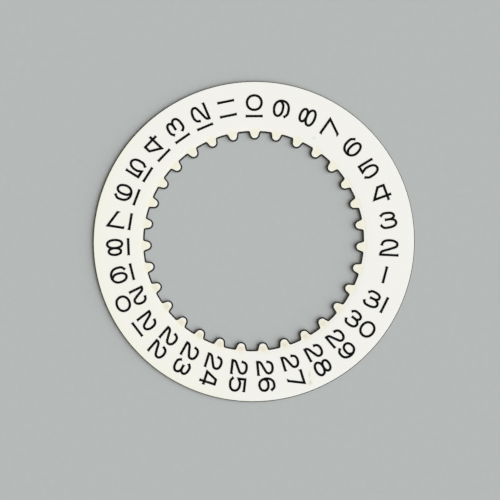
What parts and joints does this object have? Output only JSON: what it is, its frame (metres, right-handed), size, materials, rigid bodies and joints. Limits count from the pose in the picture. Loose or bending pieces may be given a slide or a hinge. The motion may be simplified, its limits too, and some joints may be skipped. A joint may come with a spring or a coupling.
{
  "type": "watch date disc",
  "caption": "Flat stamped ring with inner teeth, a white lacquered annulus and black printed dates that read outward along their radii.",
  "frame": {"origin": "the disc's axis on the plane of its underside", "axes": "+Z out of the printed face, +X through the middle of tooth 1, under date 1; the dates go round counter-clockwise seen from +Z"},
  "size_m": [0.022, 0.022, 0.0002],
  "materials": {
    "metal": "satin plated sheet, fine straight grain",
    "cream_lacquer": "satin lacquer",
    "white_lacquer": "satin lacquer",
    "ink": "pad-printed ink, slightly glossy"
  },
  "bodies": {
    "root": {"blank": "metal", "undercoat": "cream_lacquer", "face_coat": "white_lacquer", "date_01": "ink", "date_02": "ink", "date_03": "ink", "date_04": "ink", "date_05": "ink", "date_06": "ink", "date_07": "ink", "date_08": "ink", "date_09": "ink", "date_10": "ink", "date_11": "ink", "date_12": "ink", "date_13": "ink", "date_14": "ink", "date_15": "ink", "date_16": "ink", "date_17": "ink", "date_18": "ink", "date_19": "ink", "date_20": "ink", "date_21": "ink", "date_22": "ink", "date_23": "ink", "date_24": "ink", "date_25": "ink", "date_26": "ink", "date_27": "ink", "date_28": "ink", "date_29": "ink", "date_30": "ink", "date_31": "ink"}
  },
  "joints": []
}
